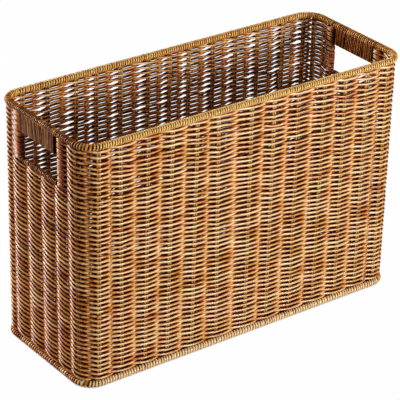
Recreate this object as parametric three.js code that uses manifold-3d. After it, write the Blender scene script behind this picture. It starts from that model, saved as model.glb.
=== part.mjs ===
// A woven magazine basket: a tall, narrow box of twined cane on paired stakes, open at the top,
// with a wrapped rim, a wrapped foot and a hand hole under a wound grip at each end.
// Millimetres, +Z up, long sides along X. The origin is on the floor under the middle.
import * as THREE from 'three';
import { mergeVertices } from 'three/addons/utils/BufferGeometryUtils.js';
import Module from 'manifold-3d';

const wasm = await Module();
wasm.setup();

// Driving sizes of the whole basket
const topLength = 417;
const topWidth = 162;
const basketHeight = 279;
const flare = 0.9; // how far each side leans out between foot and rim
const topCornerRadius = 20.5; // middle line of the rim round a corner

// Clearances
const fit = 0.3; // between pieces that touch
const overrun = 2; // how far a cutter passes what it cuts

// Rim and foot: a rod inside a close wrapping
const rodDiameter = 3.6;
const wrapDiameter = 7.8;

// Cane of the walls and the base
const stakeDiameter = 2.5; // one of the two rods of a stake
const stakeBend = 5; // radius of a stake's middle line where wall turns into base
const strandDiameter = 2.6;
const rowPitch = 5.24;
const wallInset = 1.55; // middle of the wall, inside the middle line of the rim
const weaveCover = 0.5; // least weave over a stake in a flat wall, at the valleys between rows
const cornerCover = 1.1;
const crossCount = 13; // stakes along a long side
const longCount = 6; // stakes along an end
const crossPastShare = 0.09; // outermost stake past the corner axis, as a share of the wall's radius there
const longPastShare = 0.43;
const baseCover = 1.3; // weave above and below the stakes of the base
const baseWeb = 0.6; // and between the two layers of stakes

// Hand holes, with their heights measured down from the top of the basket
const gripDrop = 28; // to the lower edge of the grip
const gripThickness = 7.8;
const gripStrandDiameter = 2.15;
const gripEndGap = 0.6; // between the winding and the post beside it
const sillDrop = 57; // to the upper edge of the sill
const sillDiameter = 6.4;
const sillStrandDiameter = 1.6;
const windingGap = 0.44; // least gap between two turns
const windingTurns = 24; // at most

// How finely round shapes are divided
const wrapSides = 8;
const rodSides = 6;
const rimCornerSteps = 3;
const bendSteps = 1;
const halfTurnSteps = 3;
const windingSides = 4;

// Sizes that follow
const wrapRadius = wrapDiameter / 2;
const rodRadius = rodDiameter / 2;
const stakeRadius = stakeDiameter / 2;
const cornerX = topLength / 2 - wrapRadius - topCornerRadius;
const cornerY = topWidth / 2 - wrapRadius - topCornerRadius;
const footLevel = wrapRadius;
const rimLevel = basketHeight - wrapRadius;
const wallHalf = stakeRadius + strandDiameter;
const wallBottom = wrapDiameter + fit;
const wallTop = basketHeight - wrapDiameter - fit;
const crossLevel = wallBottom + baseCover + fit + stakeRadius;
const longLevel = crossLevel + stakeDiameter + 2 * fit + baseWeb;
const baseTop = longLevel + stakeRadius + fit + baseCover;
const cornerWallRadius = topCornerRadius - wallInset;
const crossPitch = 2 * (cornerX + cornerWallRadius * crossPastShare) / (crossCount - 1);
const longPitch = 2 * (cornerY + cornerWallRadius * longPastShare) / (longCount - 1);
const seamX = crossPitch * (crossCount / 2 - 1);
const postY = longPitch * (longCount / 4);
const openingHalf = postY - stakeDiameter - strandDiameter;
const sillLevel = basketHeight - sillDrop - sillDiameter / 2;
const endTop = sillLevel - sillDiameter / 2 - fit;

const up = new THREE.Vector3(0, 0, 1);

// How far the middle line of rim and foot lies outside the rectangle of the corner axes
function rimReach(level) {
  return topCornerRadius - flare * (rimLevel - level) / (rimLevel - footLevel);
}

function wallReach(level) {
  return rimReach(level) - wallInset;
}

// The same on a line across the basket that passes beyond a corner axis
function wallReachBeyond(level, beyond) {
  return Math.sqrt(wallReach(level) ** 2 - Math.max(beyond, 0) ** 2);
}

// Sections: an outline, a hole if there is one, and the triangles of a lid on them

function oriented(outline, clockwise) {
  return THREE.ShapeUtils.isClockWise(outline) === clockwise ? outline : outline.slice().reverse();
}

function polygon(centreX, centreY, apothem, sides) {
  const radius = apothem / Math.cos(Math.PI / sides);
  return Array.from({ length: sides }, (_, i) => {
    const angle = (i + 0.5) * 2 * Math.PI / sides;
    return new THREE.Vector2(centreX + radius * Math.cos(angle), centreY + radius * Math.sin(angle));
  });
}

function diamond(radius, sides) {
  return Array.from({ length: sides }, (_, i) => {
    const angle = i * 2 * Math.PI / sides;
    return new THREE.Vector2(radius * Math.cos(angle), radius * Math.sin(angle));
  });
}

// Round the two rods of a stake, side by side
function stakeOutline(grow) {
  const lobe = stakeRadius + grow;
  return [
    new THREE.Vector2(stakeRadius, -lobe),
    new THREE.Vector2(stakeRadius + lobe, 0),
    new THREE.Vector2(stakeRadius, lobe),
    new THREE.Vector2(-stakeRadius, lobe),
    new THREE.Vector2(-stakeRadius - lobe, 0),
    new THREE.Vector2(-stakeRadius, -lobe),
  ];
}

function slotOutline(grow) {
  const [halfWidth, halfDepth] = [stakeDiameter + grow, stakeRadius + grow];
  return [
    new THREE.Vector2(halfWidth, -halfDepth),
    new THREE.Vector2(halfWidth, halfDepth),
    new THREE.Vector2(-halfWidth, halfDepth),
    new THREE.Vector2(-halfWidth, -halfDepth),
  ];
}

function plainSection(outline, hole = []) {
  const outer = oriented(outline, false);
  const inner = hole.length > 0 ? [oriented(hole, true)] : [];
  return { outline: outer, hole: inner.flat(), lid: THREE.ShapeUtils.triangulateShape(outer, inner) };
}

// Stations: each places a section in space by an origin and two directions

function wallStation(x, y, outX, outY) {
  return { origin: new THREE.Vector3(x, y, 0), u: new THREE.Vector3(outX, outY, 0), v: up };
}

function longSideStation(signY, x) {
  return wallStation(x, signY * cornerY, 0, signY);
}

function endStation(signX, y) {
  return wallStation(signX * cornerX, y, signX, 0);
}

// Round a corner, by the angle from the long side
function cornerStation(signX, signY, angle) {
  return wallStation(signX * cornerX, signY * cornerY, signX * Math.sin(angle), signY * Math.cos(angle));
}

function rimCorner(signX, signY) {
  return Array.from({ length: rimCornerSteps + 1 }, (_, i) => (
    cornerStation(signX, signY, i * Math.PI / (2 * rimCornerSteps))
  ));
}

// One corner after the other round the basket, from lists that each start at a long side
function roundTrip(corner) {
  return [
    ...corner(1, 1),
    ...corner(1, -1).reverse(),
    ...corner(-1, -1),
    ...corner(-1, 1).reverse(),
  ];
}

// Bodies

function signedVolume(positions, index) {
  const [a, b, c] = [new THREE.Vector3(), new THREE.Vector3(), new THREE.Vector3()];
  let volume = 0;
  for (let i = 0; i < index.length; i += 3) {
    a.fromArray(positions, 3 * index[i]);
    b.fromArray(positions, 3 * index[i + 1]);
    c.fromArray(positions, 3 * index[i + 2]);
    volume += a.dot(b.cross(c)) / 6;
  }
  return volume;
}

function closedBody(positions, index) {
  if (signedVolume(positions, index) < 0) {
    index.reverse();
  }
  const geometry = new THREE.BufferGeometry();
  geometry.setAttribute('position', new THREE.Float32BufferAttribute(positions, 3));
  geometry.setIndex(index);
  return geometry;
}

// Carries a section, and a hole in it, through all stations as one closed body
function sweep({ outline, hole = [], lid }, stations, closed = false) {
  const points = outline.concat(hole);
  const positions = stations.flatMap(({ origin, u, v }) => points.flatMap((point) => (
    origin.clone().addScaledVector(u, point.x).addScaledVector(v, point.y).toArray()
  )));
  const index = [];
  const addSides = (first, count, from, to) => {
    for (let i = 0; i < count; i += 1) {
      const a = first + i;
      const b = first + (i + 1) % count;
      index.push(from + a, from + b, to + b, from + a, to + b, to + a);
    }
  };
  const spans = closed ? stations.length : stations.length - 1;
  for (let k = 0; k < spans; k += 1) {
    const from = k * points.length;
    const to = ((k + 1) % stations.length) * points.length;
    addSides(0, outline.length, from, to);
    addSides(outline.length, hole.length, from, to);
  }
  if (!closed) {
    const last = (stations.length - 1) * points.length;
    lid.forEach(([a, b, c]) => index.push(c, b, a, last + a, last + b, last + c));
  }
  return closedBody(positions, index);
}

function toSolid(geometry) {
  const bare = geometry.clone();
  bare.deleteAttribute('normal');
  bare.deleteAttribute('uv');
  const merged = mergeVertices(bare);
  return new wasm.Manifold(new wasm.Mesh({
    numProp: 3,
    vertProperties: merged.getAttribute('position').array,
    triVerts: new Uint32Array(merged.getIndex().array),
  }));
}

function toGeometry(solid) {
  const { vertProperties, triVerts } = solid.getMesh();
  const geometry = new THREE.BufferGeometry();
  geometry.setAttribute('position', new THREE.BufferAttribute(vertProperties, 3));
  geometry.setIndex(new THREE.BufferAttribute(triVerts, 1));
  return geometry;
}

function bored(geometry, cutters) {
  return toGeometry(cutters.reduce((solid, cutter) => solid.subtract(toSolid(cutter)), toSolid(geometry)));
}

// Stakes: each pair of rods runs down one wall, under the base and up the wall opposite

function stakeStations(across, along, place, halfSpan, level, top) {
  const bendLevel = level + stakeBend;
  const bendStart = halfSpan(bendLevel);
  const side = [{ reach: halfSpan(top), level: top, angle: 0 }];
  for (let i = 0; i <= bendSteps; i += 1) {
    const angle = i * Math.PI / (2 * bendSteps);
    const reach = bendStart - stakeBend * (1 - Math.cos(angle));
    side.push({ reach, level: bendLevel - stakeBend * Math.sin(angle), angle });
  }
  const station = (point, sign) => ({
    origin: across.clone().multiplyScalar(place).addScaledVector(along, sign * point.reach)
      .addScaledVector(up, point.level),
    u: across,
    v: along.clone().multiplyScalar(sign * Math.cos(point.angle)).addScaledVector(up, -Math.sin(point.angle)),
  });
  const near = side.map((point) => station(point, 1));
  const far = side.map((point) => station(point, -1)).reverse();
  return near.concat(far);
}

const alongX = new THREE.Vector3(1, 0, 0);
const alongY = new THREE.Vector3(0, 1, 0);

function crossStake(place, outline, extra) {
  const halfSpan = (level) => cornerY + wallReachBeyond(level, Math.abs(place) - cornerX);
  const stations = stakeStations(alongX, alongY, place, halfSpan, crossLevel, wallTop + extra);
  return sweep(plainSection(outline), stations);
}

function longStake(place, outline, extra) {
  const halfSpan = (level) => cornerX + wallReachBeyond(level, Math.abs(place) - cornerY);
  const top = Math.abs(place) < openingHalf ? endTop : wallTop;
  const stations = stakeStations(alongY, alongX, place, halfSpan, longLevel, top + extra);
  return sweep(plainSection(outline), stations);
}

function places(count, pitch) {
  return Array.from({ length: count }, (_, i) => (i - (count - 1) / 2) * pitch);
}

const crossPlaces = places(crossCount, crossPitch);
const longPlaces = places(longCount, longPitch);

function crossBores(wanted, outline) {
  return crossPlaces.filter(wanted).map((place) => crossStake(place, outline, overrun));
}

function longBores(wanted, outline) {
  return longPlaces.filter(wanted).map((place) => longStake(place, outline, overrun));
}

// Woven panels

// A twined wall. On each row its strands bulge out over the stakes, at the crests, and sink in between.
// Columns are stations along the wall; a crest has a station of its own between two of the columns.
function twinedPanel(columns, crests, bottom, top, cover) {
  const rows = Math.round((top - bottom) / rowPitch);
  const valleyOffset = stakeRadius + fit + cover;
  const positions = [];
  const index = [];
  const addPoint = ({ origin, u }, offset, level) => {
    const reach = wallReach(level) + offset;
    positions.push(origin.x + u.x * reach, origin.y + u.y * reach, level);
    return positions.length / 3 - 1;
  };
  const addFan = (first, ring) => ring.slice(1).forEach((point, i) => index.push(first, ring[i], point));
  const rowEdge = (row) => bottom + (top - bottom) * row / rows;
  const outer = columns.map((column) => Array.from({ length: rows + 1 }, (_, row) => (
    addPoint(column, valleyOffset, rowEdge(row))
  )));
  const inner = columns.map((column) => [bottom, top].map((level) => addPoint(column, -wallHalf, level)));
  crests.forEach(({ station, from, to }) => {
    const across = outer.slice(from, to + 1);
    for (let row = 0; row < rows; row += 1) {
      const lower = across.map((column) => column[row]);
      const upper = across.map((column) => column[row + 1]).reverse();
      const crest = addPoint(station, wallHalf, rowEdge(row + 1 / 2));
      addFan(crest, [...lower, ...upper, lower[0]]);
    }
  });
  columns.slice(1).forEach((_, k) => {
    const [near, far] = [outer[k], outer[k + 1]];
    const [nearInner, farInner] = [inner[k], inner[k + 1]];
    addFan(far[0], [near[0], nearInner[0], farInner[0]]);
    addFan(near[rows], [far[rows], farInner[1], nearInner[1]]);
    addFan(farInner[0], [nearInner[0], nearInner[1], farInner[1]]);
  });
  const [first, last] = [0, columns.length - 1];
  addFan(inner[first][0], [...outer[first], inner[first][1]]);
  addFan(inner[last][0], [inner[last][1], ...outer[last].slice().reverse()]);
  return closedBody(positions, index);
}

// A flat panel from one edge to the other, with a valley halfway between each two crests
function flatPanel(stationAt, crestPlaces, edge, top) {
  const valleys = crestPlaces.slice(1).map((place, i) => (place + crestPlaces[i]) / 2);
  const columns = [-edge, ...valleys, edge].map(stationAt);
  const crests = crestPlaces.map((place, i) => ({ station: stationAt(place), from: i, to: i + 1 }));
  return twinedPanel(columns, crests, wallBottom, top, weaveCover);
}

function longPanel(signY) {
  const inPanel = (place) => Math.abs(place) < seamX;
  const stationAt = (x) => longSideStation(signY, x);
  const panel = flatPanel(stationAt, crossPlaces.filter(inPanel), seamX - fit, wallTop);
  return bored(panel, crossBores(inPanel, slotOutline(fit)));
}

function endPanel(signX) {
  const inPanel = (place) => Math.abs(place) < openingHalf;
  const stationAt = (y) => endStation(signX, y);
  const panel = flatPanel(stationAt, longPlaces.filter(inPanel), openingHalf - fit, endTop);
  return bored(panel, longBores(inPanel, slotOutline(fit)));
}

// Stations round a corner of the wall: seam, stake, valley, stake, valley and edge of the hand hole
function cornerColumns(signX, signY) {
  const crossAngle = Math.asin(crossPastShare);
  const longAngle = Math.PI / 2 - Math.asin(longPastShare);
  return [
    longSideStation(signY, signX * seamX),
    cornerStation(signX, signY, crossAngle),
    cornerStation(signX, signY, (crossAngle + longAngle) / 2),
    cornerStation(signX, signY, longAngle),
    endStation(signX, signY * (postY + longPitch / 2)),
    endStation(signX, signY * openingHalf),
  ];
}

function cornerPanel(signX, signY) {
  const columns = cornerColumns(signX, signY);
  const crests = [
    { station: columns[1], from: 0, to: 2 },
    { station: columns[3], from: 2, to: 4 },
    { station: endStation(signX, signY * postY), from: 4, to: 5 },
  ];
  return bored(twinedPanel(columns, crests, wallBottom, wallTop, cornerCover), [
    ...crossBores((place) => place * signX > seamX, stakeOutline(fit)),
    ...longBores((place) => place * signY > openingHalf, stakeOutline(fit)),
  ]);
}

function basePanel() {
  const reach = wallReach(wallBottom) - wallHalf - fit;
  const outline = new THREE.Shape(roundTrip((signX, signY) => cornerColumns(signX, signY).slice(1, -1)).map(
    ({ origin, u }) => new THREE.Vector2(origin.x + reach * u.x, origin.y + reach * u.y),
  ));
  const plate = new THREE.ExtrudeGeometry(outline, { depth: baseTop - wallBottom, bevelEnabled: false });
  plate.translate(0, 0, wallBottom);
  const slot = slotOutline(fit);
  return bored(plate, [...crossBores(() => true, slot), ...longBores(() => true, slot)]);
}

// Rods and wrappings of rim and foot

function ringRod(level) {
  const section = plainSection(polygon(rimReach(level), level, rodRadius, rodSides));
  return sweep(section, roundTrip(rimCorner), true);
}

function sleeve(level, stations) {
  const reach = rimReach(level);
  const outline = polygon(reach, level, wrapRadius, wrapSides);
  const hole = polygon(reach, level, rodRadius + fit, rodSides);
  return sweep(plainSection(outline, hole), stations);
}

// Windings: one strand round a bar, from the inner side down, under, up the outer side and over

function windingPlan(length, strand, thickness, height) {
  const span = length - strand;
  const turns = Math.min(windingTurns, Math.floor(span / (strand + windingGap)));
  const radius = (thickness - strand) / 2;
  const flat = (height - thickness) / 2;
  return { span, turns, pitch: span / turns, radius, flat, strand };
}

function windingRoute({ span, turns, pitch, radius, flat }, tail) {
  const lowerLength = 4 * flat + Math.PI * radius;
  const route = [
    { out: -radius, level: flat + tail, along: -span / 2, angle: Math.PI },
    { out: -radius, level: flat, along: -span / 2, angle: Math.PI },
  ];
  const add = (out, level, along, angle) => {
    const last = route[route.length - 1];
    if (Math.hypot(out - last.out, level - last.level, along - last.along) > radius / halfTurnSteps) {
      route.push({ out, level, along, angle });
    }
  };
  for (let turn = 0; turn < turns; turn += 1) {
    const start = -span / 2 + turn * pitch;
    for (let i = 0; i <= halfTurnSteps; i += 1) {
      const angle = Math.PI + i * Math.PI / halfTurnSteps;
      const gone = (2 * flat + (angle - Math.PI) * radius) / lowerLength;
      add(radius * Math.cos(angle), -flat + radius * Math.sin(angle), start + gone * pitch, angle);
    }
    if (turn < turns - 1) {
      for (let i = 0; i <= halfTurnSteps; i += 1) {
        const angle = i * Math.PI / halfTurnSteps;
        add(radius * Math.cos(angle), flat + radius * Math.sin(angle), start + pitch, angle);
      }
    }
  }
  add(radius, flat, span / 2, 0);
  add(radius, flat + tail, span / 2, 0);
  return route;
}

// Least gap between two turns, measured on points along the route
function selfGap(route, strand) {
  const pointsPerSpan = 4;
  const points = route.slice(1).flatMap((end, i) => Array.from({ length: pointsPerSpan }, (_, k) => {
    const share = k / pointsPerSpan;
    const mix = (name) => route[i][name] + (end[name] - route[i][name]) * share;
    return { at: new THREE.Vector3(mix('out'), mix('level'), mix('along')), order: i + share };
  }));
  let least = Infinity;
  points.forEach((a, i) => points.slice(i + 1).forEach((b) => {
    if (b.order - a.order > halfTurnSteps) {
      least = Math.min(least, a.at.distanceTo(b.at) - strand);
    }
  }));
  return least;
}

function windingGeometry(route, strand, signX, centreX, centreLevel) {
  const stations = route.map(({ out, level, along, angle }) => ({
    origin: new THREE.Vector3(centreX + signX * out, along, centreLevel + level),
    u: new THREE.Vector3(signX * Math.cos(angle), 0, Math.sin(angle)),
    v: alongY,
  }));
  return sweep(plainSection(diamond(strand / 2, windingSides)), stations);
}

// Radius of a bar that a winding of straight steps just clears
function coreRadius({ radius, strand }) {
  return radius * Math.cos(Math.PI / (2 * halfTurnSteps)) - strand / 2 - fit;
}

const gripBottom = basketHeight - gripDrop;
const gripLevel = (gripBottom + wallTop) / 2;
const windingLength = 2 * (openingHalf - gripEndGap);
const grip = windingPlan(windingLength, gripStrandDiameter, gripThickness, wallTop - gripBottom);
const gripRoute = windingRoute(grip, grip.radius + grip.strand / 2);
const sill = windingPlan(windingLength, sillStrandDiameter, sillDiameter, sillDiameter);
const sillRoute = windingRoute(sill, sill.strand);

console.log(`least gap in a grip winding: ${selfGap(gripRoute, grip.strand).toFixed(2)} mm`);
console.log(`least gap in a sill winding: ${selfGap(sillRoute, sill.strand).toFixed(2)} mm`);

function gripCore() {
  const radius = coreRadius(grip);
  const section = [];
  [[1, 0], [-1, Math.PI]].forEach(([sign, start]) => {
    for (let i = 0; i <= halfTurnSteps; i += 1) {
      const angle = start + i * Math.PI / halfTurnSteps;
      section.push(new THREE.Vector2(radius * Math.cos(angle), sign * grip.flat + radius * Math.sin(angle)));
    }
  });
  const half = openingHalf - fit;
  return sweep(plainSection(section), [-half, half].map((y) => ({
    origin: new THREE.Vector3(0, y, 0),
    u: alongX,
    v: up,
  })));
}

function sillBar() {
  return new THREE.CylinderGeometry(coreRadius(sill), coreRadius(sill), 2 * (openingHalf - fit), wrapSides);
}

// The basket

const basket = new THREE.Group();

function addPiece(name, geometry, color, roughness) {
  const mesh = new THREE.Mesh(geometry, new THREE.MeshStandardMaterial({ color, roughness, metalness: 0 }));
  mesh.name = name;
  basket.add(mesh);
  return mesh;
}

const rimColour = 0xb78a4e;
const weaveColour = 0xa87639;
const endColour = 0x956632;
const stakeColour = 0x8f6233;
const gripColour = 0x7c4526;
const caneRoughness = 0.45;

const longSides = { front: -1, back: 1 };
const ends = { left: -1, right: 1 };

[['rim', rimLevel], ['foot', footLevel]].forEach(([part, level]) => {
  addPiece(`${part}_rod`, ringRod(level), stakeColour, caneRoughness);
  Object.entries(longSides).forEach(([name, sign]) => {
    const stations = [fit - cornerX, cornerX - fit].map((x) => longSideStation(sign, x));
    addPiece(`${part}_wrap_${name}`, sleeve(level, stations), rimColour, caneRoughness);
  });
  Object.entries(ends).forEach(([name, sign]) => {
    const stations = [fit - cornerY, cornerY - fit].map((y) => endStation(sign, y));
    addPiece(`${part}_wrap_${name}`, sleeve(level, stations), rimColour, caneRoughness);
  });
  Object.entries(longSides).forEach(([longName, signY]) => {
    Object.entries(ends).forEach(([endName, signX]) => {
      const name = `${part}_wrap_corner_${longName}_${endName}`;
      addPiece(name, sleeve(level, rimCorner(signX, signY)), rimColour, caneRoughness);
    });
  });
});

crossPlaces.forEach((place, i) => {
  addPiece(`stake_cross_${i + 1}`, crossStake(place, stakeOutline(0), 0), stakeColour, caneRoughness);
});
longPlaces.forEach((place, i) => {
  addPiece(`stake_long_${i + 1}`, longStake(place, stakeOutline(0), 0), stakeColour, caneRoughness);
});

Object.entries(longSides).forEach(([longName, signY]) => {
  addPiece(`weave_${longName}`, longPanel(signY), weaveColour, caneRoughness);
  Object.entries(ends).forEach(([endName, signX]) => {
    addPiece(`weave_corner_${longName}_${endName}`, cornerPanel(signX, signY), weaveColour, caneRoughness);
  });
});
Object.entries(ends).forEach(([name, sign]) => {
  addPiece(`weave_${name}`, endPanel(sign), endColour, caneRoughness);
});
addPiece('weave_base', basePanel(), endColour, caneRoughness);

Object.entries(ends).forEach(([name, sign]) => {
  const gripX = sign * (cornerX + rimReach(gripLevel));
  addPiece(`grip_core_${name}`, gripCore(), stakeColour, caneRoughness).position.set(gripX, 0, gripLevel);
  const gripGeometry = windingGeometry(gripRoute, grip.strand, sign, gripX, gripLevel);
  addPiece(`grip_winding_${name}`, gripGeometry, gripColour, caneRoughness);
  const sillX = sign * (cornerX + wallReach(sillLevel));
  addPiece(`sill_bar_${name}`, sillBar(), stakeColour, caneRoughness).position.set(sillX, 0, sillLevel);
  const sillGeometry = windingGeometry(sillRoute, sill.strand, sign, sillX, sillLevel);
  addPiece(`sill_winding_${name}`, sillGeometry, gripColour, caneRoughness);
});

export default basket;
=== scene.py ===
import bpy
import numpy as np
from mathutils import Matrix, Vector

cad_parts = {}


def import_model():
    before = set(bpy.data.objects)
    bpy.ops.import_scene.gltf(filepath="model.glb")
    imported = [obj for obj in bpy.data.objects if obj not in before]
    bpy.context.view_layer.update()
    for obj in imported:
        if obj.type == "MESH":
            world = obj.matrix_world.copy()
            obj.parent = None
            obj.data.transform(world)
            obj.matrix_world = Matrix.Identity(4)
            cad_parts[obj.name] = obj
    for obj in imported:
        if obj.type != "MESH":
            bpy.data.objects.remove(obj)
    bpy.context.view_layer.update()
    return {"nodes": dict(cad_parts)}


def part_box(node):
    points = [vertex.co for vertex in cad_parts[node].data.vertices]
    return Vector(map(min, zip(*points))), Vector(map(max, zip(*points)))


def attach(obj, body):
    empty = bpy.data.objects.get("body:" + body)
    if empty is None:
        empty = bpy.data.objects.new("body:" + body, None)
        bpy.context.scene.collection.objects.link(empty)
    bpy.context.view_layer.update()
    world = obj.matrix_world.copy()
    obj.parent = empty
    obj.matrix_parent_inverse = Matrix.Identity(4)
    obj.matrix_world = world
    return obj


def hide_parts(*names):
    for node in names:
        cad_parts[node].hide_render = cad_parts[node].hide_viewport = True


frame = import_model()

MM = 0.001
SEED = 20
rng = np.random.default_rng(SEED)

# Sizes read from the frame


def node_box(node):
    low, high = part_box(node)
    return np.array(low), np.array(high)


rim_low, rim_high = node_box("rim_wrap_front")
foot_low = node_box("foot_wrap_front")[0]
corner_low, corner_high = node_box("rim_wrap_corner_front_right")
foot_corner_high = node_box("foot_wrap_corner_front_right")[1]
wall_low, wall_high = node_box("weave_front")
stake_low, stake_high = node_box("stake_cross_7")
long_low = node_box("stake_long_3")[0]
sill_low, sill_high = node_box("sill_winding_left")
sill_bar_low, sill_bar_high = node_box("sill_bar_left")
grip_low, grip_high = node_box("grip_winding_left")

WRAP_RADIUS = (rim_high[2] - rim_low[2]) / 2
RIM_LEVEL = rim_high[2] - WRAP_RADIUS
FOOT_LEVEL = foot_low[2] + WRAP_RADIUS
CORNER_X = corner_low[0]
CORNER_Y = -corner_high[1]
RIM_REACH = corner_high[0] - CORNER_X - WRAP_RADIUS
FOOT_REACH = foot_corner_high[0] - CORNER_X - WRAP_RADIUS
WALL_BOTTOM = wall_low[2]
WALL_TOP = wall_high[2]
STAKE_RADIUS = (stake_high[0] - stake_low[0]) / 4 # a stake is two rods side by side
CROSS_LEVEL = stake_low[2] + STAKE_RADIUS
LONG_LEVEL = long_low[2] + STAKE_RADIUS
SILL_LEVEL = sill_bar_low[2] / 2 + sill_bar_high[2] / 2
SILL_HALF = (sill_high[0] - sill_low[0]) / 2
GRIP_BOTTOM = grip_low[2]


def stake_middles(kind, axis):
    """The middle of each stake of a kind along an axis."""
    count = sum(node.startswith(f"stake_{kind}_") for node in frame["nodes"])
    return [sum(np.array(node_box(f"stake_{kind}_{i + 1}"))[:, axis]) / 2 for i in range(count)]


CROSS_X = stake_middles("cross", 0)
LONG_Y = stake_middles("long", 1)
CROSS_COUNT = len(CROSS_X)
LONG_COUNT = len(LONG_Y)


def rim_reach(level):
    share = (level - FOOT_LEVEL) / (RIM_LEVEL - FOOT_LEVEL)
    return FOOT_REACH + (RIM_REACH - FOOT_REACH) * share


WALL_INSET = rim_reach(WALL_TOP) - (stake_high[1] - STAKE_RADIUS - CORNER_Y)


def wall_reach(level):
    return rim_reach(level) - WALL_INSET


# Cane and how it is worked
STRAND_RADIUS = 1.48 * MM
# For front, right, back and left: strand width against STRAND_RADIUS, high up and low down, and tint lost as
# painted shade
HIGH_FULLNESS = (0.97, 0.84, 0.84, 0.98)
LOW_FULLNESS = (0.97, 0.98, 1.04, 1.0)
WALL_PAINTED_SHADE = (0, 0.06, 0.06, 0.19)
DEPTH_PAINTED_SHADE = (0, 0.3, 1.1, 0) # painted shade: more tint lost on the inner side, growing from the rim down
# Painted shade on the rim and foot wrapping, for front, right, back and left
WRAP_PAINTED_SHADE = (0, 0.4, 0.1, 0.63)
DEEPEST = 0.5 # share of the wall's height, from the rim, beyond which the painted shade on the inner side grows no more
BACK_STAKE_PAINTED_SHADE = 0.25 # painted shade: tint lost on the back legs of the cross stakes
POST_PAINTED_SHADE = 0.35 # painted shade: tint lost half way to a post round which a strand turns back
POST_PINCH = 0.15 # how much nearer together the two strands of a row lie at that post
TWIST_REACH = STAKE_RADIUS + STRAND_RADIUS
TWIST_LIFT = 1.32 * MM
LIFT_GATHERED = 0.65 # above 0 the lift lies nearer to the crossings
CROSS_SWELL = 0.16 # how much wider the strands lie where they cross, between stakes
ROW_PITCH = 5.24 * MM
STAKE_BEND = 5 * MM
# How far stakes stand from even places along the wall: each of the front's, all at the back, all at the left
FRONT_SHIFTS = np.array([0, -4, -6, -8, -7, -5, 3, 1, 3, 3, 5, 3, 0]) * MM
BACK_SHIFT = -5 * MM
LEFT_FOOT_SHIFT = -1.5 * MM
LEFT_RIM_SHIFT = -3.5 * MM
STAKE_WANDER = 0.9 * MM
STAKE_LEAN = 1.6 * MM
STAKE_TINT = 0.45
STAKE_TINT_SPREAD = 0.12
ROD_SPREAD = STAKE_RADIUS * 1.02 # from the middle of a stake to the middle of each of its rods
ROD_TOP = WALL_TOP + WRAP_RADIUS / 2
SHORT_STAKES = (2, 3) # long stakes that end at the sills
ROW_WANDER = 0.45 * MM
ROW_SHAKE = 0.3 * MM
CALM_LEAST = 0.35 # share of its drift that the row beside rim or foot keeps
CALM_ROWS = 4 # each row further in adds one divided by this to the share, up to 1
TOP_ROWS = 4
TOP_LIFT = 1.4 * MM # how far the highest row is pushed up against the rim
LOOSE_ROWS = 10 # under the rim
RIM_LOOSENESS = 2.5
FULLNESS_CHANGES = 0.55 # share of the wall's height at which low fullness begins to give way to high
FULLNESS_ROWS = 4 # that the change takes
WEAVER_LENGTH = (0.9, 2.4)
WEAVER_SIZES = (0.93, 1.04)
LENGTH_TINT = 0.5
LENGTH_TINT_SPREAD = 0.06
LENGTH_TINTS = (0.3, 0.7)
BASE_ROWS = 4 # between two long stakes
BASE_OVERHANG = 0.4 # past the outer cross stakes, counted in stakes
BASE_END_BAY = 4 * ROW_PITCH
BASE_TINT = 0.45
BASE_TINT_SPREAD = 0.08
BASE_TINTS = (0.1, 0.9)
BASE_STARTS = (0, 5) # where on its length of cane a row of the base begins
RIM_PITCH = 2.9 * MM
FOOT_PITCH = 3.4 * MM
RIM_HALF_WIDTH = 1.26 * MM
FOOT_HALF_WIDTH = 1.64 * MM
RIM_PALER = 0.05
FOOT_PALER = 0.16
WRAP_WIDTH_SPREAD = 0.1
WRAP_WIDTHS = (0.75, 1.25)
WRAP_HALF_THICKNESS = 1.2 * MM
WRAP_SUNK = 0.07 * MM # by chance, for each turn
WRAP_ALTERNATE_SUNK = 0.1 * MM # for every other turn
WRAP_ALTERNATE = 0.12 # tint by which every other turn of rim and foot is paler
WRAP_TINT_SPREAD = 0.08
WRAP_TINTS = (-0.4, 0.95)
TURNS_OF_A_LENGTH = 40
GRIP_TURNS = 24
GRIP_ALTERNATE = 0.12 # tint by which every other loop of grips and sills is paler
# Low tints: grips and sills darker than the weave, partly as painted shade
GRIP_TINT = 0.14
SILL_TINT = 0.12
GRIP_TINT_SPREAD = 0.05
GRIP_TINTS = (-0.3, 0.95)
GRIP_SHAKE = 0.3 * MM
GRIP_HALF_WIDTH = 1.1 * MM
GRIP_HALF_THICKNESS = 1.25 * MM
GRIP_LEAN = 0.14 # sideways for each unit of height, one way outside and the other way inside
GRIP_TUCK = 3 * MM # how far below the middle of the rim a grip's loops turn over

SAMPLES_PER_BAY = 11
HALF_BAY = 0.5 # from a stake to the crossing beside it, counted in stakes
STRAND_SIDES = 8
POST_SAMPLES = 9
LEG_SAMPLES = 14
BEND_SAMPLES = 6
TURN_SAMPLES = 16
HALF_LOOP_SAMPLES = 12

# The plan of the basket: a coordinate runs round the wall, counter-clockwise seen from above


class Ring:
    """A rounded rectangle round the corner axes, measured at one reach."""

    def __init__(self, reach):
        quarter = reach * np.pi / 2
        lengths = [2 * CORNER_X, quarter, 2 * CORNER_Y, quarter] * 2
        self.knots = np.concatenate([[0], np.cumsum(lengths)])
        self.length = self.knots[-1]
        self.x = np.array([-1, 1, 1, 1, 1, -1, -1, -1, -1]) * CORNER_X
        self.y = np.array([-1, -1, -1, 1, 1, 1, 1, -1, -1]) * CORNER_Y
        self.turn = np.array([-1, -1, 0, 0, 1, 1, 2, 2, 3]) * np.pi / 2

    def at(self, place):
        """Core point and outward direction at each place."""
        place = np.mod(place, self.length)
        turn = np.interp(place, self.knots, self.turn)
        core = np.stack([np.interp(place, self.knots, self.x), np.interp(place, self.knots, self.y)], -1)
        return core, np.stack([np.cos(turn), np.sin(turn)], -1)


MID_LEVEL = (WALL_BOTTOM + WALL_TOP) / 2
MID_REACH = wall_reach(MID_LEVEL)
wall_ring = Ring(MID_REACH)


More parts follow.
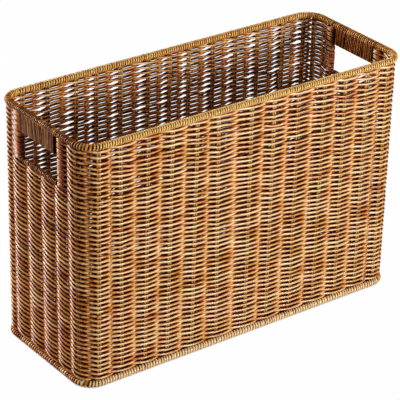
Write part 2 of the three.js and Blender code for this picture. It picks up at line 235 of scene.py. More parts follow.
def on_wall(place, offset, level):
    """Points at places round the wall, so far out from its middle and at these levels."""
    core, out = wall_ring.at(place)
    reach = wall_reach(level) + offset
    return np.concatenate([core + out * reach[..., None], level[..., None]], -1)


def along_side(value, corner):
    """Place of a stake on a side that begins at -corner, measured round the bend if it stands past it."""
    past = MID_REACH * np.arcsin(max(abs(value) - corner, 0) / MID_REACH)
    return corner + np.clip(value, -corner, corner) + past * np.sign(value)


def stake_places():
    """Places round the wall of all stakes: front, right, back and left."""
    knots = wall_ring.knots
    front = [knots[0] + along_side(x, CORNER_X) for x in CROSS_X]
    right = [knots[2] + along_side(y, CORNER_Y) for y in LONG_Y]
    back = [knots[4] + along_side(-x, CORNER_X) for x in reversed(CROSS_X)]
    left = [knots[6] + along_side(-y, CORNER_Y) for y in reversed(LONG_Y)]
    return np.array(front + right + back + left)


STAKES = stake_places()
STAKE_COUNT = len(STAKES)
RIGHT_FIRST = CROSS_COUNT
BACK_FIRST = CROSS_COUNT + LONG_COUNT
LEFT_FIRST = BACK_FIRST + CROSS_COUNT

# How far each stake stands from its even place at foot and rim, done once for all that follows it
stake_foot_shift = rng.normal(0, STAKE_WANDER, STAKE_COUNT)
stake_rim_shift = stake_foot_shift + rng.normal(0, STAKE_LEAN, STAKE_COUNT)
for shifts, left_shift in ((stake_foot_shift, LEFT_FOOT_SHIFT), (stake_rim_shift, LEFT_RIM_SHIFT)):
    shifts[:CROSS_COUNT] += FRONT_SHIFTS
    shifts[BACK_FIRST:LEFT_FIRST] += BACK_SHIFT
    shifts[LEFT_FIRST:] += left_shift


def stake_place(index, level):
    """Place round the wall of a stake, or of a point between stakes, at a level. Indexes may pass the ends
    by two stakes."""
    share = (level - WALL_BOTTOM) / (WALL_TOP - WALL_BOTTOM)
    steps = np.arange(-2, STAKE_COUNT + 3)
    laps = np.floor_divide(steps, STAKE_COUNT) * wall_ring.length
    foot = (STAKES + stake_foot_shift)[steps % STAKE_COUNT] + laps
    rim = (STAKES + stake_rim_shift)[steps % STAKE_COUNT] + laps
    return np.interp(index, steps, foot) * (1 - share) + np.interp(index, steps, rim) * share


# Smooth noise that closes on itself round the wall


class Wander:
    """Rows of smooth random values round the wall, shared a little between neighbouring rows."""

    def __init__(self, rows, knots, blur):
        values = rng.normal(0, 1, (rows, knots))
        for _ in range(blur):
            padded = np.pad(values, ((1, 1), (0, 0)), mode="edge")
            values = (padded[:-2] + padded[1:-1] + padded[2:]) / 3
        self.values = values / values.std()
        self.knots = knots

    def at(self, row, place):
        position = np.mod(place / wall_ring.length, 1) * self.knots
        first = np.floor(position).astype(int)
        share = position - first
        share = share * share * (3 - 2 * share)
        values = self.values[row]
        return values[first % self.knots] * (1 - share) + values[(first + 1) % self.knots] * share


# Mesh building


class Strands:
    """Collects tubes and turns them into one mesh object."""

    def __init__(self):
        self.points = []
        self.cane = []
        self.open = []
        self.quads = []
        self.caps = []
        self.count = 0

    def add(self, line, side, half_width, half_height, tint, free, free_share=1.0, closed=False, start=0.0):
        """A tube along line. side points across it, where half_height is measured; tint is one value or one
        for each point. free points to the side that lies open, as far as free_share says: at 1 it alone
        does, at -1 the side opposite, and at 0 both."""
        line = np.asarray(line, float)
        ahead = np.roll(line, -1, 0) - np.roll(line, 1, 0) if closed else np.gradient(line, axis=0)
        ahead /= np.linalg.norm(ahead, axis=1, keepdims=True)
        side = np.broadcast_to(side, line.shape)
        side = side - ahead * (side * ahead).sum(1, keepdims=True)
        side /= np.linalg.norm(side, axis=1, keepdims=True)
        across = np.cross(ahead, side)
        corner = np.arange(STRAND_SIDES)
        angle = corner * 2 * np.pi / STRAND_SIDES
        cosine = np.cos(angle)[None, :, None]
        sine = np.sin(angle)[None, :, None]
        height = np.broadcast_to(half_height, len(line))[:, None, None] * cosine
        width = np.broadcast_to(half_width, len(line))[:, None, None] * sine
        ring = line[:, None] + side[:, None] * height + across[:, None] * width
        steps = np.linalg.norm(np.diff(line, axis=0), axis=1)
        along = start + np.concatenate([[0], np.cumsum(steps)])
        outward = side[:, None] * cosine + across[:, None] * sine
        # How open each face lies, which the materials turn into painted light on open faces and painted shade
        # on the others
        facing = (outward * np.broadcast_to(free, line.shape)[:, None]).sum(2)
        share = np.broadcast_to(free_share, len(line))[:, None]
        self.open.append((share * facing + (1 - np.abs(share)) * np.abs(facing)).ravel())
        cane = np.empty((len(line), STRAND_SIDES, 3))
        cane[..., 0] = along[:, None]
        cane[..., 1] = angle / (2 * np.pi)
        cane[..., 2] = np.broadcast_to(tint, len(line))[:, None]
        spans = np.arange(len(line) if closed else len(line) - 1)
        here = self.count + spans[:, None] * STRAND_SIDES
        beyond = self.count + ((spans + 1) % len(line))[:, None] * STRAND_SIDES
        turned = (corner + 1) % STRAND_SIDES
        quads = np.stack([here + corner, here + turned, beyond + turned, beyond + corner], -1)
        self.quads.append(quads.reshape(-1, 4))
        if not closed:
            last = self.count + (len(line) - 1) * STRAND_SIDES
            self.caps.append(self.count + corner[::-1])
            self.caps.append(last + corner)
        self.points.append(ring.reshape(-1, 3))
        self.cane.append(cane.reshape(-1, 3))
        self.count += len(line) * STRAND_SIDES

    def build(self, name, material, slot, nodes):
        points = np.concatenate(self.points)
        quads = np.concatenate(self.quads)
        caps = np.concatenate(self.caps) if self.caps else np.empty(0, int)
        mesh = bpy.data.meshes.new(name)
        mesh.vertices.add(len(points))
        mesh.vertices.foreach_set("co", points.ravel())
        corners = np.concatenate([quads.ravel(), caps])
        mesh.loops.add(len(corners))
        mesh.loops.foreach_set("vertex_index", corners)
        cap_starts = quads.size + np.arange(len(self.caps)) * STRAND_SIDES
        starts = np.concatenate([np.arange(len(quads)) * 4, cap_starts]).astype(int)
        mesh.polygons.add(len(starts))
        mesh.polygons.foreach_set("loop_start", starts)
        mesh.polygons.foreach_set("use_smooth", np.ones(len(starts), bool))
        mesh.update(calc_edges=True)
        attribute = mesh.attributes.new("cane", "FLOAT_VECTOR", "POINT")
        attribute.data.foreach_set("vector", np.concatenate(self.cane).ravel())
        attribute = mesh.attributes.new("open", "FLOAT", "POINT")
        attribute.data.foreach_set("value", np.concatenate(self.open))
        mesh.materials.append(material)
        piece = bpy.data.objects.new(name, mesh)
        bpy.context.scene.collection.objects.link(piece)
        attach(piece, "root")
        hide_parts(*nodes)


# Materials

WEAVE_SHADES = ((68, 8, 0), (122, 28, 0), (172, 86, 14), (228, 156, 76), (255, 220, 166))
# Darker than the weave's, partly as painted shade
END_SHADES = ((48, 10, 0), (104, 50, 12), (166, 106, 50), (212, 154, 92), (240, 198, 146))
RIM_SHADES = ((64, 14, 0), (132, 58, 2), (196, 108, 22), (242, 170, 72), (255, 208, 122))
GRIP_SHADES = ((36, 2, 0), (88, 26, 2), (146, 70, 20), (204, 128, 62), (248, 196, 136))
STAKE_SHADES = ((50, 14, 0), (110, 56, 14), (176, 114, 48), (210, 152, 78), (232, 186, 118))
# Near black: painted shade where the hidden rods show between turns and loops
CORE_SHADES = ((24, 4, 0), (36, 10, 0), (48, 16, 2))

# Noise of a strand: its scale along the strand, round it and from tint to tint, then its detail
SLOW_STREAKS = ((25.0, 0.6, 40.0), 2.0)
FINE_STREAKS = ((220.0, 5.0, 90.0), 2.0)
FIBRES = ((500.0, 40.0, 90.0), 1.0)
HUE_STREAKS = ((9.0, 0.3, 130.0), 1.0)
NOISE_MIDDLE = 0.5
SLOW_CONTRAST = 0.9
FINE_CONTRAST = 0.55
# Painted light and shade: faces that lie open are made lighter, faces turned into the weave or the rod darker
OPEN_MIDDLE = 0.4
OPEN_CONTRAST = 0.85
HUE_SPREAD = 0.055
HUE_UNCHANGED = 0.5
ROUGHNESS_SPREAD = 0.25
ROUGHNESS_MIDDLE = 0.12 # taken off again, about what the streaks add on average
FIBRE_STRENGTH = 0.25
FIBRE_DEPTH = 0.1 * MM
SPECULAR = 0.5


def colour(red, green, blue):
    """A colour as read from a picture, 0 to 255, in the linear values that shaders take."""
    values = np.array([red, green, blue]) / 255
    linear = np.where(values <= 0.04045, values / 12.92, ((values + 0.055) / 1.055) ** 2.4)
    return (*linear, 1.0)


def calculator(tree):
    """A function that adds a maths node to a node tree and gives its output."""

    def calculated(operation, *values):
        node = tree.nodes.new("ShaderNodeMath")
        node.operation = operation
        for socket, value in zip(node.inputs, values):
            if isinstance(value, (int, float)):
                socket.default_value = value
            else:
                tree.links.new(value, socket)
        return node.outputs[0]

    return calculated


def cane_material(name, shades, roughness, depth_share=1.0):
    """Varnished cane: one colour a strand, slow and fine streaks along it, painted light and shade by how
    open each face lies, as strong as depth_share says, and fibres as bump.
    """
    material = bpy.data.materials.new(name)
    material.use_nodes = True
    nodes, links = material.node_tree.nodes, material.node_tree.links
    calculated = calculator(material.node_tree)
    shader = nodes["Principled BSDF"]
    cane = nodes.new("ShaderNodeAttribute")
    cane.attribute_name = "cane"
    parts = nodes.new("ShaderNodeSeparateXYZ")
    links.new(cane.outputs["Vector"], parts.inputs[0])
    lying_open = nodes.new("ShaderNodeAttribute")
    lying_open.attribute_name = "open"

    def noise(scale, detail):
        stretch = nodes.new("ShaderNodeVectorMath")
        stretch.operation = "MULTIPLY"
        stretch.inputs[1].default_value = scale
        links.new(cane.outputs["Vector"], stretch.inputs[0])
        texture = nodes.new("ShaderNodeTexNoise")
        texture.inputs["Scale"].default_value = 1.0
        texture.inputs["Detail"].default_value = detail
        links.new(stretch.outputs[0], texture.inputs["Vector"])
        return texture.outputs["Fac"]

    def about(middle, value, contrast):
        return calculated("MULTIPLY", calculated("SUBTRACT", value, middle), contrast)

    fine = noise(*FINE_STREAKS)
    slow_tint = about(NOISE_MIDDLE, noise(*SLOW_STREAKS), SLOW_CONTRAST)
    fine_tint = about(NOISE_MIDDLE, fine, FINE_CONTRAST)
    painted_light_and_shade = about(OPEN_MIDDLE, lying_open.outputs["Fac"], OPEN_CONTRAST * depth_share)
    shade = calculated("ADD", parts.outputs[2], calculated("ADD", slow_tint, fine_tint))
    shade = calculated("ADD", shade, painted_light_and_shade)
    ramp = nodes.new("ShaderNodeValToRGB")
    elements = ramp.color_ramp.elements
    for i in range(1, len(shades) - 1):
        elements.new(i / (len(shades) - 1))
    for element, shade_colour in zip(elements, shades):
        element.color = colour(*shade_colour)
    links.new(shade, ramp.inputs[0])
    hue = about(NOISE_MIDDLE, noise(*HUE_STREAKS), HUE_SPREAD)
    toned = nodes.new("ShaderNodeHueSaturation")
    links.new(calculated("ADD", hue, HUE_UNCHANGED), toned.inputs["Hue"])
    links.new(ramp.outputs[0], toned.inputs["Color"])
    links.new(toned.outputs[0], shader.inputs["Base Color"])
    streaked = calculated("MULTIPLY", fine, ROUGHNESS_SPREAD)
    links.new(calculated("ADD", streaked, roughness - ROUGHNESS_MIDDLE), shader.inputs["Roughness"])
    bump = nodes.new("ShaderNodeBump")
    bump.inputs["Strength"].default_value = FIBRE_STRENGTH
    bump.inputs["Distance"].default_value = FIBRE_DEPTH
    links.new(noise(*FIBRES), bump.inputs["Height"])
    links.new(bump.outputs[0], shader.inputs["Normal"])
    shader.inputs["Specular IOR Level"].default_value = SPECULAR
    return material


weave_cane = cane_material("weave_cane", WEAVE_SHADES, roughness=0.23)
end_cane = cane_material("end_cane", END_SHADES, roughness=0.27)
rim_cane = cane_material("rim_cane", RIM_SHADES, roughness=0.22, depth_share=1.3)
foot_cane = cane_material("foot_cane", WEAVE_SHADES, roughness=0.22, depth_share=1.3)
grip_cane = cane_material("grip_cane", GRIP_SHADES, roughness=0.22, depth_share=1.2)
core_painted_shade_cane = cane_material("core_painted_shade_cane", CORE_SHADES, roughness=0.6)
stake_cane = cane_material("stake_cane", STAKE_SHADES, roughness=0.4)

# Lengths of cane that follow each other, each of its own colour


def length_tints(count):
    return np.clip(rng.normal(LENGTH_TINT, LENGTH_TINT_SPREAD, count), *LENGTH_TINTS)


class Weavers:
    """The lengths along the rows of the walls, and how thick each is."""

    def __init__(self, total):
        lengths = rng.uniform(*WEAVER_LENGTH, int(total / WEAVER_LENGTH[0]) + 2)
        self.ends = np.cumsum(lengths)
        self.tints = length_tints(len(lengths) + 1)
        self.sizes = rng.uniform(*WEAVER_SIZES, len(lengths) + 1)

    def at(self, distance):
        index = np.searchsorted(self.ends, distance)
        return self.tints[index], self.sizes[index]


# The woven walls

row_count = round((WALL_TOP - WALL_BOTTOM) / ROW_PITCH)
row_pitch = (WALL_TOP - WALL_BOTTOM) / row_count
row_levels = WALL_BOTTOM + (np.arange(row_count) + 0.5) * row_pitch
pressed_row = int(np.searchsorted(row_levels, SILL_LEVEL - SILL_HALF))
row_levels[pressed_row] = SILL_LEVEL - SILL_HALF - STRAND_RADIUS / 2
row_levels[-TOP_ROWS:] += TOP_LIFT * np.arange(1, TOP_ROWS + 1) / TOP_ROWS
row_wander = Wander(row_count, knots=24, blur=6)
row_shake = Wander(row_count, knots=60, blur=1)
row_weavers = [Weavers(row_count * wall_ring.length) for _ in range(2)]
first_split_row = pressed_row + 1
last_low_row = round(FULLNESS_CHANGES * row_count)


def row_level(row, place):
    """Height of a row at each place, calm beside the rim and the foot."""
    edge = min(row, row_count - 1 - row)
    calm = min(1.0, CALM_LEAST + edge / CALM_ROWS)
    loose = 1 + RIM_LOOSENESS * max(0.0, 1 - abs(row_count - LOOSE_ROWS / 2 - row) / LOOSE_ROWS * 2)
    drift = ROW_WANDER * row_wander.at(row, place) + ROW_SHAKE * loose * row_shake.at(row, place)
    return row_levels[row] + calm * drift


def wall_value(values, place):
    """Of values for front, right, back and left the one at each place, passing over at the corners."""
    around = np.append(np.repeat(values, 2), values[0])
    return np.interp(np.mod(place, wall_ring.length), wall_ring.knots, around)


def add_strand(strands, row, which, index, offset, lift, painted_shade):
    """One strand of a row through points given by stake index, offset and lift above the row."""
    level = row_levels[row] + lift
    place = stake_place(index, level)
    level = row_level(row, place) + lift
    distance = (row + np.mod(place / wall_ring.length, 1)) * wall_ring.length
    tint, size = row_weavers[which].at(distance)
    line = on_wall(place, offset, level)
    out = np.pad(wall_ring.at(place)[1], ((0, 0), (0, 1)))
    high = min(1, max(0, (row - last_low_row) / FULLNESS_ROWS))
    full = wall_value(HIGH_FULLNESS, place) * high + wall_value(LOW_FULLNESS, place) * (1 - high)
    radius = STRAND_RADIUS * size * full * (1 + CROSS_SWELL * (lift / TWIST_LIFT) ** 2)
    share = np.clip(offset / TWIST_REACH, -1, 1)
    # Painted shade: each wall's share, more on the inner side of deeper rows, and what the caller gives
    deep = min(1 - row / row_count, DEEPEST) * (1 - share) / 2
    painted_shade = painted_shade + wall_value(WALL_PAINTED_SHADE, place) + wall_value(DEPTH_PAINTED_SHADE, place) * deep
    strands.add(line, (0, 0, 1), radius, radius, tint - painted_shade, out, share, start=distance[0])


def post_loop(post, crossing, which, lift, sign):
    """From a crossing to the post beside it, round the post's free edge and back to the crossing."""
    outward = np.sign(np.cos(np.pi * (post + which)))
    half_bay = abs(stake_place(np.array(crossing), MID_LEVEL) - stake_place(np.array(float(post)), MID_LEVEL))
    share = np.linspace(0, 1, SAMPLES_PER_BAY // 2 + 1)[1:]
    near = crossing + (post - crossing) * share
    near_offset = outward * TWIST_REACH * np.sin(share * np.pi / 2)
    angle = np.linspace(0, np.pi, POST_SAMPLES)
    beyond = (STAKE_RADIUS + TWIST_REACH * np.sin(angle)) / half_bay * HALF_BAY
    turn = post + sign * beyond
    turn_offset = outward * TWIST_REACH * np.cos(angle)
    back_share = share[::-1][:-1]
    back = crossing + (post - crossing) * back_share
    back_offset = -outward * TWIST_REACH * np.sin(back_share * np.pi / 2)
    index = np.concatenate([near, turn, back])
    offset = np.concatenate([near_offset, turn_offset, back_offset])
    toward = np.concatenate([share, np.ones(len(angle)), back_share])
    # The last value is painted shade, deepest half way to the post
    return index, offset, lift * (1 - POST_PINCH * toward), POST_PAINTED_SHADE * np.sin(np.pi * toward)


def row_strand(strands, row, which, start, end, loop_start=False, loop_end=False):
    """A strand between two stake indexes. Where a hand hole cuts the row it turns back round the post."""
    first = start + HALF_BAY if loop_start else start
    last = end - HALF_BAY if loop_end else end
    samples = int(round((last - first) * SAMPLES_PER_BAY)) + 1
    index = np.linspace(first, last, samples)
    phase = np.pi * (index + which)
    offset = TWIST_REACH * np.cos(phase)
    lift = -TWIST_LIFT * np.sin(phase) * np.abs(np.sin(phase)) ** LIFT_GATHERED
    parts = [(index, offset, lift, np.zeros(samples))]
    if loop_end:
        parts.append(post_loop(end, last, which, lift[-1], 1))
    if loop_start:
        loop = post_loop(start, first, which, lift[0], -1)
        parts.insert(0, tuple(values[::-1] for values in loop))
    add_strand(strands, row, which, *[np.concatenate(values) for values in zip(*parts)])


def woven_piece(side, start, end, rows, slot, loop_start=False, loop_end=False):
    """A panel from crossing to crossing. Beside a hand hole its rows end at the post half a bay inside."""
    strands = Strands()
    for row in rows:
        for which in range(2):
            if row >= first_split_row and (loop_start or loop_end):
                row_start = start + HALF_BAY if loop_start else start
                row_end = end - HALF_BAY if loop_end else end
                row_strand(strands, row, which, row_start, row_end, loop_start, loop_end)
            else:
                row_strand(strands, row, which, start, end)
    strands.build(f"woven_{side}", weave_cane, slot, [f"weave_{side}"])


for side, start, end, loops in (
        ("front", 0, CROSS_COUNT - 2, {}),
        ("corner_front_right", CROSS_COUNT - 2, RIGHT_FIRST + 1, {"loop_end": True}),
        ("right", RIGHT_FIRST + 1, RIGHT_FIRST + 3, {}),
        ("corner_back_right", RIGHT_FIRST + 3, BACK_FIRST, {"loop_start": True}),
        ("back", BACK_FIRST, BACK_FIRST + CROSS_COUNT - 2, {}),
        ("corner_back_left", BACK_FIRST + CROSS_COUNT - 2, LEFT_FIRST + 1, {"loop_end": True}),
        ("left", LEFT_FIRST + 1, LEFT_FIRST + 3, {}),
        ("corner_front_left", LEFT_FIRST + 3, STAKE_COUNT, {"loop_start": True})):
    under_hole = side in ("right", "left")
    rows = range(first_split_row if under_hole else row_count)
    slot = "weave_ends" if under_hole else "weave_long_sides"
    woven_piece(side, start + HALF_BAY, end + HALF_BAY, rows, slot, **loops)

# Stakes: pairs of rods down one wall, under the base and up the wall opposite


def leg(index, lateral, top, low):
    level = np.linspace(top, low, LEG_SAMPLES)
    place = stake_place(np.full(len(level), float(index)), level) + lateral
    return on_wall(place, np.zeros(len(level)), level)


def stake_rod(strands, near, far, axis, lateral, level, top, tint):
    """One rod: axis is the direction that it runs across the base in, 0 for X and 1 for Y."""
    bend_level = level + STAKE_BEND
    legs = []
    for index, side in ((near, 1), (far, -1)):
        line = leg(index, lateral * side, top, bend_level)
        inward = -np.sign(line[-1, axis])
        angle = np.linspace(0, np.pi / 2, BEND_SAMPLES)[1:]
        bend = np.repeat(line[-1:], len(angle), 0)
        bend[:, axis] += inward * STAKE_BEND * (1 - np.cos(angle))
        bend[:, 2] = bend_level - STAKE_BEND * np.sin(angle)
        legs.append(np.concatenate([line, bend]))
    # Painted shade on the back legs of the cross stakes
    painted_shade = np.repeat((0, BACK_STAKE_PAINTED_SHADE if axis == 1 else 0), (len(legs[0]), len(legs[1])))
    line = np.concatenate([legs[0], legs[1][::-1]])
    across = np.array((0, 1, 0) if axis == 0 else (1, 0, 0))
    ahead = np.gradient(line, axis=0)
    out = np.cross(ahead, across)
    out /= np.linalg.norm(out, axis=1, keepdims=True)
    strands.add(line, across, STAKE_RADIUS, STAKE_RADIUS, tint - painted_shade, out, 0.0)


def stakes(kind, count, near, far, axis, level, short=()):
    """All stakes of a kind. near and far are the indexes of the first stake's two legs."""
    strands = Strands()
    for i in range(count):
        top = SILL_LEVEL if i in short else ROD_TOP
        for lateral in (-ROD_SPREAD, ROD_SPREAD):
            tint = rng.normal(STAKE_TINT, STAKE_TINT_SPREAD)
            stake_rod(strands, near + i, far - i, axis, lateral, level, top, tint)
    strands.build(f"stakes_{kind}", stake_cane, "stakes", [f"stake_{kind}_{i + 1}" for i in range(count)])


stakes("cross", CROSS_COUNT, near=0, far=LEFT_FIRST - 1, axis=1, level=CROSS_LEVEL)
stakes("long", LONG_COUNT, near=RIGHT_FIRST, far=STAKE_COUNT - 1, axis=0, level=LONG_LEVEL,
       short=SHORT_STAKES)

# The woven base: rows along X round the cross stakes, between the long stakes


def base_rows():
    for low, high in zip(LONG_Y[:-1], LONG_Y[1:]):
        room = high - low - 4 * STAKE_RADIUS
        for k in range(BASE_ROWS):
            yield low + 2 * STAKE_RADIUS + room * (k + 0.5) / BASE_ROWS


def woven_base():
    strands = Strands()
    last = CROSS_COUNT - 1
    index = np.linspace(-BASE_OVERHANG, last + BASE_OVERHANG, (CROSS_COUNT + 1) * SAMPLES_PER_BAY)
    overhang = index - np.clip(index, 0, last)
    x = np.interp(index, np.arange(CROSS_COUNT), CROSS_X) + overhang * BASE_END_BAY
    for y in base_rows():
        for which in range(2):
            phase = np.pi * (index + which)
            level = CROSS_LEVEL + TWIST_REACH * np.cos(phase)
            line = np.stack([x, y - TWIST_LIFT * np.sin(phase), level], -1)
            tint = np.clip(rng.normal(BASE_TINT, BASE_TINT_SPREAD), *BASE_TINTS)
            strands.add(line, (0, 1, 0), STRAND_RADIUS, STRAND_RADIUS, tint, (0, 0, 1), np.cos(phase),
                        start=rng.uniform(*BASE_STARTS))
    strands.build("woven_base", end_cane, "weave_ends", ["weave_base"])


woven_base()

# Wrapping of rim and foot: a strand wound round and round the rod


def every_other(count):
    return np.arange(count) % 2


def wrapping(name, reach, level, pitch, half_width, paler, material, nodes):
    """Turns that close on themselves all the way round the rod."""
    ring = Ring(reach)
    turns = round(ring.length / pitch)
    samples = turns * TURN_SAMPLES
    widths = np.repeat(np.clip(rng.normal(1, WRAP_WIDTH_SPREAD, turns), *WRAP_WIDTHS), TURN_SAMPLES)
    place = np.cumsum(widths) / widths.sum() * ring.length
    core, out = ring.at(place)
    angle = 2 * np.pi * np.arange(samples) / TURN_SAMPLES
    sunk = np.abs(rng.normal(0, WRAP_SUNK, turns)) + WRAP_ALTERNATE_SUNK * every_other(turns)
    radius = WRAP_RADIUS - WRAP_HALF_THICKNESS - np.repeat(sunk, TURN_SAMPLES)
    reach_out = reach + radius * np.cos(angle)
    line = np.concatenate([core + out * reach_out[:, None], (level + radius * np.sin(angle))[:, None]], -1)
    tangent = np.stack([-out[:, 1], out[:, 0], np.zeros(samples)], -1)
    free = np.concatenate([out * np.cos(angle)[:, None], np.sin(angle)[:, None]], -1)
    lengths = length_tints(turns // TURNS_OF_A_LENGTH + 1)
    single = rng.normal(0, WRAP_TINT_SPREAD, turns) + WRAP_ALTERNATE * (every_other(turns) - 0.5)
    tint = np.repeat(lengths[np.arange(turns) // TURNS_OF_A_LENGTH] + single, TURN_SAMPLES)
    # Painted shade on rim and foot, most on the ends
    tint = tint + paler - wall_value(WRAP_PAINTED_SHADE, place / ring.length * wall_ring.length)
    strands = Strands()
    strands.add(line, tangent, WRAP_HALF_THICKNESS, half_width * widths, np.clip(tint, *WRAP_TINTS), free,
                closed=True)
    strands.build(name, material, "wraps", nodes)


SIDES = ("front", "back", "left", "right", "corner_front_left", "corner_front_right", "corner_back_left",
         "corner_back_right")
wrapping("rim_wrapping", RIM_REACH, RIM_LEVEL, RIM_PITCH, RIM_HALF_WIDTH, RIM_PALER, rim_cane,
         [f"rim_wrap_{side}" for side in SIDES])
wrapping("foot_wrapping", FOOT_REACH, FOOT_LEVEL, FOOT_PITCH, FOOT_HALF_WIDTH, FOOT_PALER, foot_cane,
         [f"foot_wrap_{side}" for side in SIDES])

# Grips and sills: loops round a bar


def beside_posts(sign, level):
    """The middle, along Y, between the two posts of an end."""
    first = RIGHT_FIRST if sign > 0 else LEFT_FIRST
    places = stake_place(np.array([first + 1.0, first + LONG_COUNT - 2.0]), np.full(2, level))
    return on_wall(places, np.zeros(2), np.full(2, level))[:, 1].mean()


def winding(name, node, sign, centre_x, low_level, high_level, radius, middle_tint):
    """One strand wound round a bar along Y, between two levels of its middle line."""
    path = []
    for base_angle, level in ((np.pi, low_level), (0, high_level)):
        for i in range(HALF_LOOP_SAMPLES + 1):
            angle = base_angle + i * np.pi / HALF_LOOP_SAMPLES
            out, up = np.cos(angle), np.sin(angle)
            path.append((radius * out, level + radius * up, out, up))
    per_turn = len(path)
    span = grip_high[1] - grip_low[1] - 2 * GRIP_HALF_WIDTH
    turn = np.arange(GRIP_TURNS * per_turn) / per_turn
    shakes = rng.normal(0, GRIP_SHAKE, 2 * GRIP_TURNS + 2)
    shake = np.interp(turn, np.arange(0, GRIP_TURNS + 1, 0.5), shakes)
    loop = np.tile(path, (GRIP_TURNS, 1))
    lean = GRIP_LEAN * (loop[:, 1] - (low_level + high_level) / 2) * loop[:, 2]
    inner_turns = np.sin(np.pi * turn / GRIP_TURNS)
    along = beside_posts(sign, low_level) + span * (turn / GRIP_TURNS - 0.5) + shake + lean * inner_turns
    line = np.stack([centre_x + sign * loop[:, 0], along, loop[:, 1]], -1)
    free = np.stack([sign * loop[:, 2], np.zeros(len(loop)), loop[:, 3]], -1)
    tints = rng.normal(middle_tint, GRIP_TINT_SPREAD, GRIP_TURNS)
    tints = np.clip(tints + GRIP_ALTERNATE * (every_other(GRIP_TURNS) - 0.5), *GRIP_TINTS)
    strands = Strands()
    strands.add(line, (0, 1, 0), GRIP_HALF_THICKNESS, GRIP_HALF_WIDTH, np.repeat(tints, per_turn), free)
    strands.build(name, grip_cane, "grips", [node])


for side, sign in (("left", -1), ("right", 1)):
    winding(f"grip_{side}", f"grip_winding_{side}", sign, sign * (CORNER_X + RIM_REACH),
            GRIP_BOTTOM + WRAP_RADIUS, RIM_LEVEL - GRIP_TUCK, WRAP_RADIUS - GRIP_HALF_THICKNESS, GRIP_TINT)
    low, high = node_box(f"sill_winding_{side}")
    winding(f"sill_{side}", f"sill_winding_{side}", sign, (low[0] + high[0]) / 2, SILL_LEVEL, SILL_LEVEL,
            (high[0] - low[0]) / 2 - GRIP_HALF_THICKNESS, SILL_TINT)

# Hidden rods keep their solids, with near-black cane on them as painted shade where they show between turns
# and loops
for node in ("rim_rod", "foot_rod", "grip_core_left", "grip_core_right", "sill_bar_left", "sill_bar_right"):
    for material_slot in frame["nodes"][node].material_slots:
        material_slot.material = core_painted_shade_cane

# Floor, lamps and camera

FLOOR_SIZE = 12
FLOOR_ROUGHNESS = 0.9
FLOOR_WHITE = 0.6
FLOOR_GLOW = 0.985
SHADE_SOFTNESS = 3 * MM
SHADE_COLOUR = (60, 34, 16)
WORLD_STRENGTH = 0.04
WHITE = (1, 1, 1, 1)
# Name, place, point aimed at, width and watts
LAMPS = (
    ("key", (0.9, -2.1, 0.66), (0, 0, 0.14), 0.6, 44),
    ("back_left", (-1.0, 1.8, 0.75), (-0.1, 0, 0.15), 1.0, 52),
    ("left", (-2.1, 0.1, 0.7), (0, 0, 0.14), 0.35, 3),
    ("above", (-0.2, 0.6, 2.2), (0, 0, 0.2), 0.8, 3),
)
CAMERA_AZIMUTH = np.radians(-37.265)
CAMERA_ELEVATION = np.radians(27.394)
CAMERA_ROLL = np.radians(1.456)
CAMERA_PLACE = np.array([-1167.8, -1528.9, 1126.4]) * MM
CAMERA_FOCUS = 180.84
CAMERA_SENSOR = 36.0
CAMERA_SIGHT = 20


def floor():
    """Pale and matt, with a painted shadow where the basket stands on it, and white to the camera elsewhere.
    """
    bpy.ops.mesh.primitive_plane_add(size=FLOOR_SIZE)
    plane = bpy.context.object
    plane.name = "floor"
    material = bpy.data.materials.new("floor")
    material.use_nodes = True
    nodes, links = material.node_tree.nodes, material.node_tree.links
    calculated = calculator(material.node_tree)
    place = nodes.new("ShaderNodeNewGeometry")
    apart = nodes.new("ShaderNodeSeparateXYZ")
    links.new(place.outputs["Position"], apart.inputs[0])
    squares = []
    for axis, edge in enumerate((CORNER_X, CORNER_Y)):
        past = calculated("SUBTRACT", calculated("ABSOLUTE", apart.outputs[axis]), float(edge))
        past = calculated("MAXIMUM", past, 0.0)
        squares.append(calculated("MULTIPLY", past, past))
    distance = calculated("SQRT", calculated("ADD", *squares))
    outside = calculated("DIVIDE", calculated("SUBTRACT", distance, float(FOOT_REACH) - SHADE_SOFTNESS),
                         2 * SHADE_SOFTNESS)
    outside = calculated("MINIMUM", calculated("MAXIMUM", outside, 0.0), 1.0)
    shader = nodes["Principled BSDF"]
    shade = nodes.new("ShaderNodeMix")
    shade.data_type = "RGBA"
    shade.inputs["A"].default_value = colour(*SHADE_COLOUR)
    shade.inputs["B"].default_value = (FLOOR_WHITE, FLOOR_WHITE, FLOOR_WHITE, 1)
    links.new(outside, shade.inputs["Factor"])
    links.new(shade.outputs["Result"], shader.inputs["Base Color"])
    shader.inputs["Roughness"].default_value = FLOOR_ROUGHNESS
    glow = nodes.new("ShaderNodeEmission")
    glow.inputs["Color"].default_value = WHITE
    mix = nodes.new("ShaderNodeMixShader")
    path = nodes.new("ShaderNodeLightPath")
    seen = calculated("MULTIPLY", path.outputs["Is Camera Ray"], FLOOR_GLOW)
    links.new(calculated("MULTIPLY", seen, outside), mix.inputs[0])
    links.new(shader.outputs[0], mix.inputs[1])
    links.new(glow.outputs[0], mix.inputs[2])
    links.new(mix.outputs[0], nodes["Material Output"].inputs["Surface"])
    plane.data.materials.append(material)


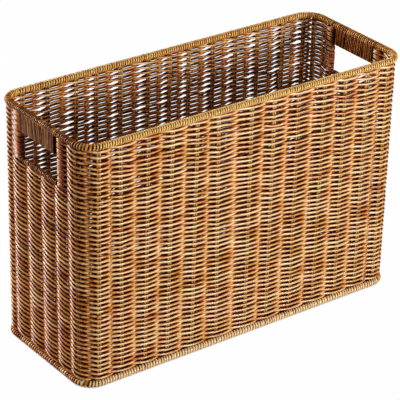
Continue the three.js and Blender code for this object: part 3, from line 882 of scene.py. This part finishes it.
def world():
    """Dim light from all round, which the camera sees as white."""
    surroundings = bpy.data.worlds.new("studio")
    bpy.context.scene.world = surroundings
    surroundings.use_nodes = True
    nodes, links = surroundings.node_tree.nodes, surroundings.node_tree.links
    background = nodes["Background"]
    background.inputs["Color"].default_value = WHITE
    path = nodes.new("ShaderNodeLightPath")
    strength = nodes.new("ShaderNodeMix")
    strength.inputs["A"].default_value = WORLD_STRENGTH
    strength.inputs["B"].default_value = 1.0
    links.new(path.outputs["Is Camera Ray"], strength.inputs["Factor"])
    links.new(strength.outputs["Result"], background.inputs["Strength"])


def area_lamp(name, place, target, size, power):
    lamp = bpy.data.lights.new(name, "AREA")
    lamp.shape = "SQUARE"
    lamp.size = size
    lamp.energy = power
    holder = bpy.data.objects.new(name, lamp)
    holder.location = place
    direction = Vector(target) - Vector(place)
    holder.rotation_euler = direction.to_track_quat("-Z", "Y").to_euler()
    bpy.context.scene.collection.objects.link(holder)


def camera():
    sin_a, cos_a = np.sin(CAMERA_AZIMUTH), np.cos(CAMERA_AZIMUTH)
    sin_e, cos_e = np.sin(CAMERA_ELEVATION), np.cos(CAMERA_ELEVATION)
    back = np.array([sin_a * cos_e, -cos_a * cos_e, sin_e])
    right = np.cross(-back, (0, 0, 1))
    right /= np.linalg.norm(right)
    above = np.cross(right, -back)
    rolled_right = right * np.cos(CAMERA_ROLL) + above * np.sin(CAMERA_ROLL)
    rolled_above = above * np.cos(CAMERA_ROLL) - right * np.sin(CAMERA_ROLL)
    lens = bpy.data.cameras.new("camera")
    lens.sensor_width = CAMERA_SENSOR
    lens.lens = CAMERA_FOCUS
    lens.clip_end = CAMERA_SIGHT
    holder = bpy.data.objects.new("camera", lens)
    turn = Matrix([list(row) for row in np.stack([rolled_right, rolled_above, back], 1)]).to_4x4()
    holder.matrix_world = Matrix.Translation(Vector(CAMERA_PLACE)) @ turn
    bpy.context.scene.collection.objects.link(holder)
    bpy.context.scene.camera = holder


floor()
world()
for lamp in LAMPS:
    area_lamp(*lamp)
camera()
bpy.context.scene.view_settings.view_transform = "Standard"
